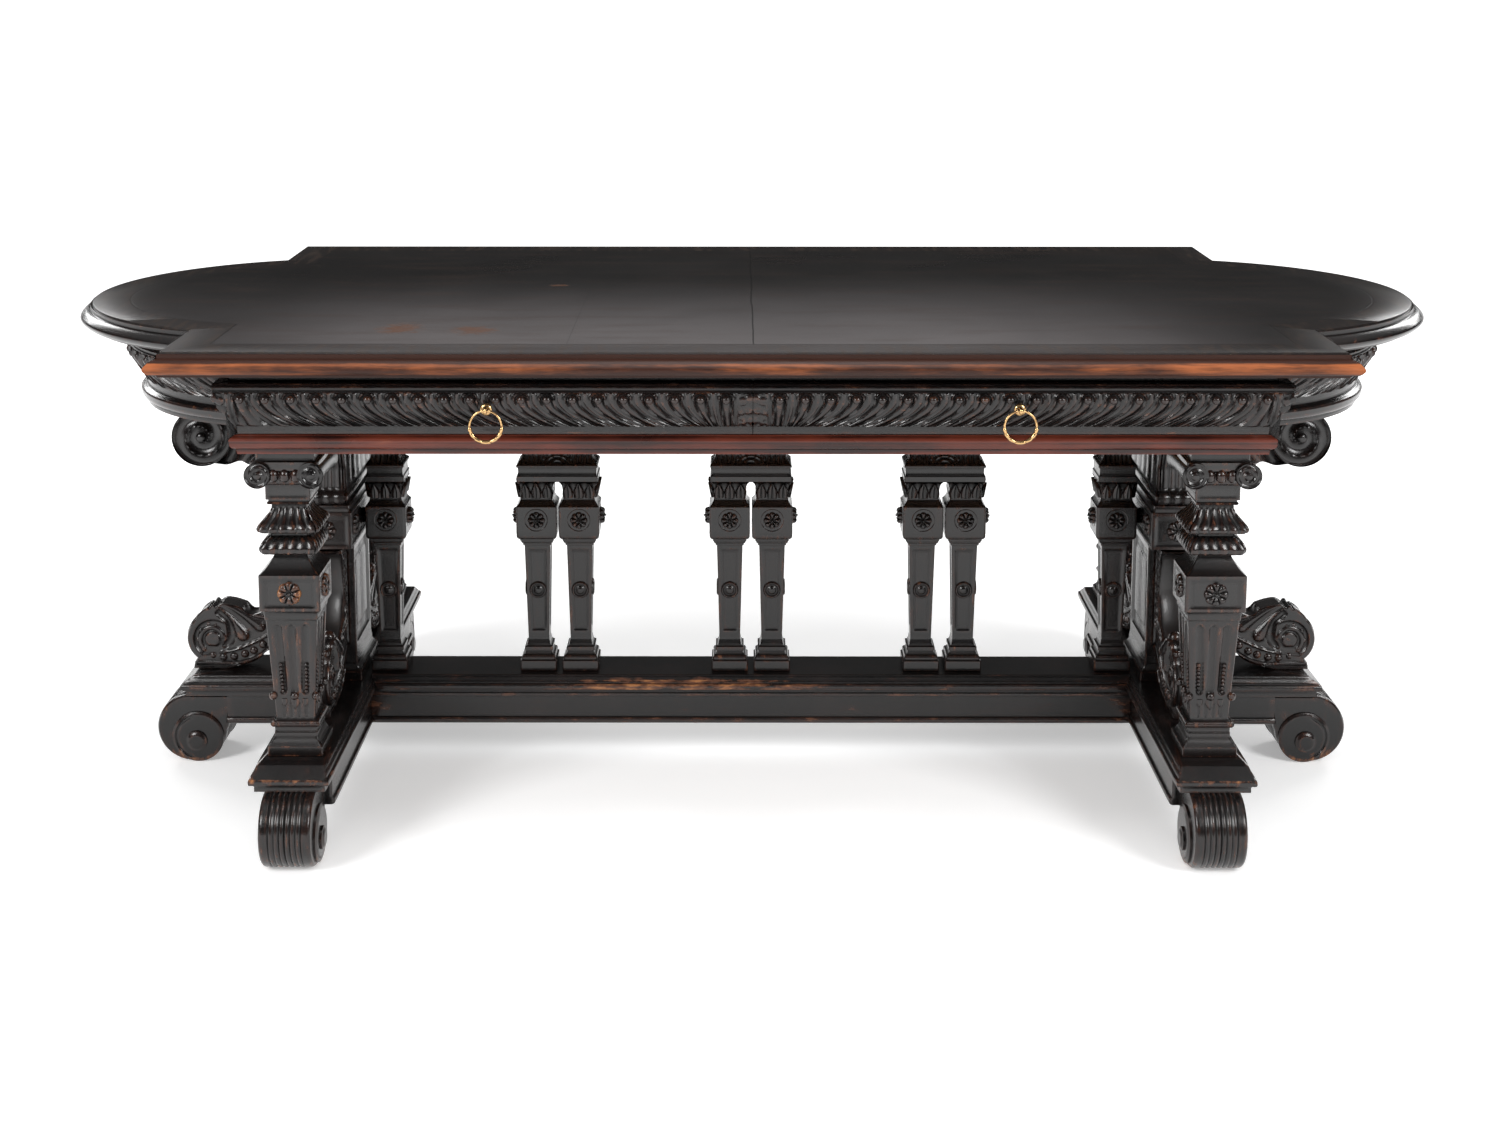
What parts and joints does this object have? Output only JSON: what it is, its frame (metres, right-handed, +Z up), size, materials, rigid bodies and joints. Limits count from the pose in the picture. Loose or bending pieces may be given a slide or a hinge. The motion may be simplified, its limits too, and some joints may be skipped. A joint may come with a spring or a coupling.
{
  "type": "library table",
  "caption": "Long library table with a round lobe at each end of its top, a gadrooned frieze with drawers on ring pulls, square carved legs, an arcade on a stretcher and scroll feet.",
  "frame": {"origin": "on the floor under the middle of the table", "axes": "+X to the right along the table's length, seen from the front; +Y to the back, the drawers open towards -Y; +Z up"},
  "size_m": [2.16, 1.058, 0.787],
  "materials": {
    "ebonised_walnut": "ebonised walnut, near black, soft wax gloss",
    "worn_walnut": "ebonised walnut worn through to red brown, polished by hands",
    "inner_wood": "plain unfinished carcass wood",
    "brass": "aged brass, rubbed bright on the high spots"
  },
  "bodies": {
    "table_frame": {"top_panel": "ebonised_walnut", "front_edge_moulding": "worn_walnut", "back_edge_moulding": "worn_walnut", "left_edge_moulding": "ebonised_walnut", "right_edge_moulding": "ebonised_walnut", "front_top_rail": "ebonised_walnut", "front_lower_rail": "worn_walnut", "back_frieze": "ebonised_walnut", "left_end_frieze": "ebonised_walnut", "right_end_frieze": "ebonised_walnut", "left_cheek": "inner_wood", "right_cheek": "inner_wood", "centre_rail": "inner_wood", "drawer_divider": "inner_wood", "left_drawer_runner": "inner_wood", "right_drawer_runner": "inner_wood", "left_cross_beam": "ebonised_walnut", "left_out_beam": "ebonised_walnut", "left_front_foot": "ebonised_walnut", "left_back_foot": "ebonised_walnut", "left_outer_foot": "ebonised_walnut", "left_front_leg": "ebonised_walnut", "left_back_leg": "ebonised_walnut", "left_pier": "ebonised_walnut", "left_front_console": "ebonised_walnut", "left_back_console": "ebonised_walnut", "left_outer_console": "ebonised_walnut", "left_upper_bracket": "ebonised_walnut", "right_cross_beam": "ebonised_walnut", "right_out_beam": "ebonised_walnut", "right_front_foot": "ebonised_walnut", "right_back_foot": "ebonised_walnut", "right_outer_foot": "ebonised_walnut", "right_front_leg": "ebonised_walnut", "right_back_leg": "ebonised_walnut", "right_pier": "ebonised_walnut", "right_front_console": "ebonised_walnut", "right_back_console": "ebonised_walnut", "right_outer_console": "ebonised_walnut", "right_upper_bracket": "ebonised_walnut", "stretcher": "worn_walnut", "left_pilaster_pair": "ebonised_walnut", "middle_pilaster_pair": "ebonised_walnut", "right_pilaster_pair": "ebonised_walnut", "left_end_pilaster": "ebonised_walnut", "right_end_pilaster": "ebonised_walnut"},
    "left_drawer": {"left_drawer_front": "ebonised_walnut", "left_drawer_outer_side": "inner_wood", "left_drawer_inner_side": "inner_wood", "left_drawer_back": "inner_wood", "left_drawer_bottom": "inner_wood", "left_drawer_pull_mount": "brass"},
    "left_ring": {"left_drawer_pull_ring": "brass"},
    "right_drawer": {"right_drawer_front": "ebonised_walnut", "right_drawer_outer_side": "inner_wood", "right_drawer_inner_side": "inner_wood", "right_drawer_back": "inner_wood", "right_drawer_bottom": "inner_wood", "right_drawer_pull_mount": "brass"},
    "right_ring": {"right_drawer_pull_ring": "brass"}
  },
  "joints": [
    {"name": "left_drawer_slide", "type": "slide", "parent": "table_frame", "child": "left_drawer", "axis": [0, -1, 0], "range_m": [0, 0.3]},
    {"name": "left_ring_swing", "type": "hinge", "parent": "left_drawer", "child": "left_ring", "pos_m": [-0.378, -0.486, 0.698], "axis": [-1, 0, 0], "range_deg": [0, 110]},
    {"name": "right_drawer_slide", "type": "slide", "parent": "table_frame", "child": "right_drawer", "axis": [0, -1, 0], "range_m": [0, 0.3]},
    {"name": "right_ring_swing", "type": "hinge", "parent": "right_drawer", "child": "right_ring", "pos_m": [0.378, -0.486, 0.698], "axis": [-1, 0, 0], "range_deg": [0, 110]}
  ]
}
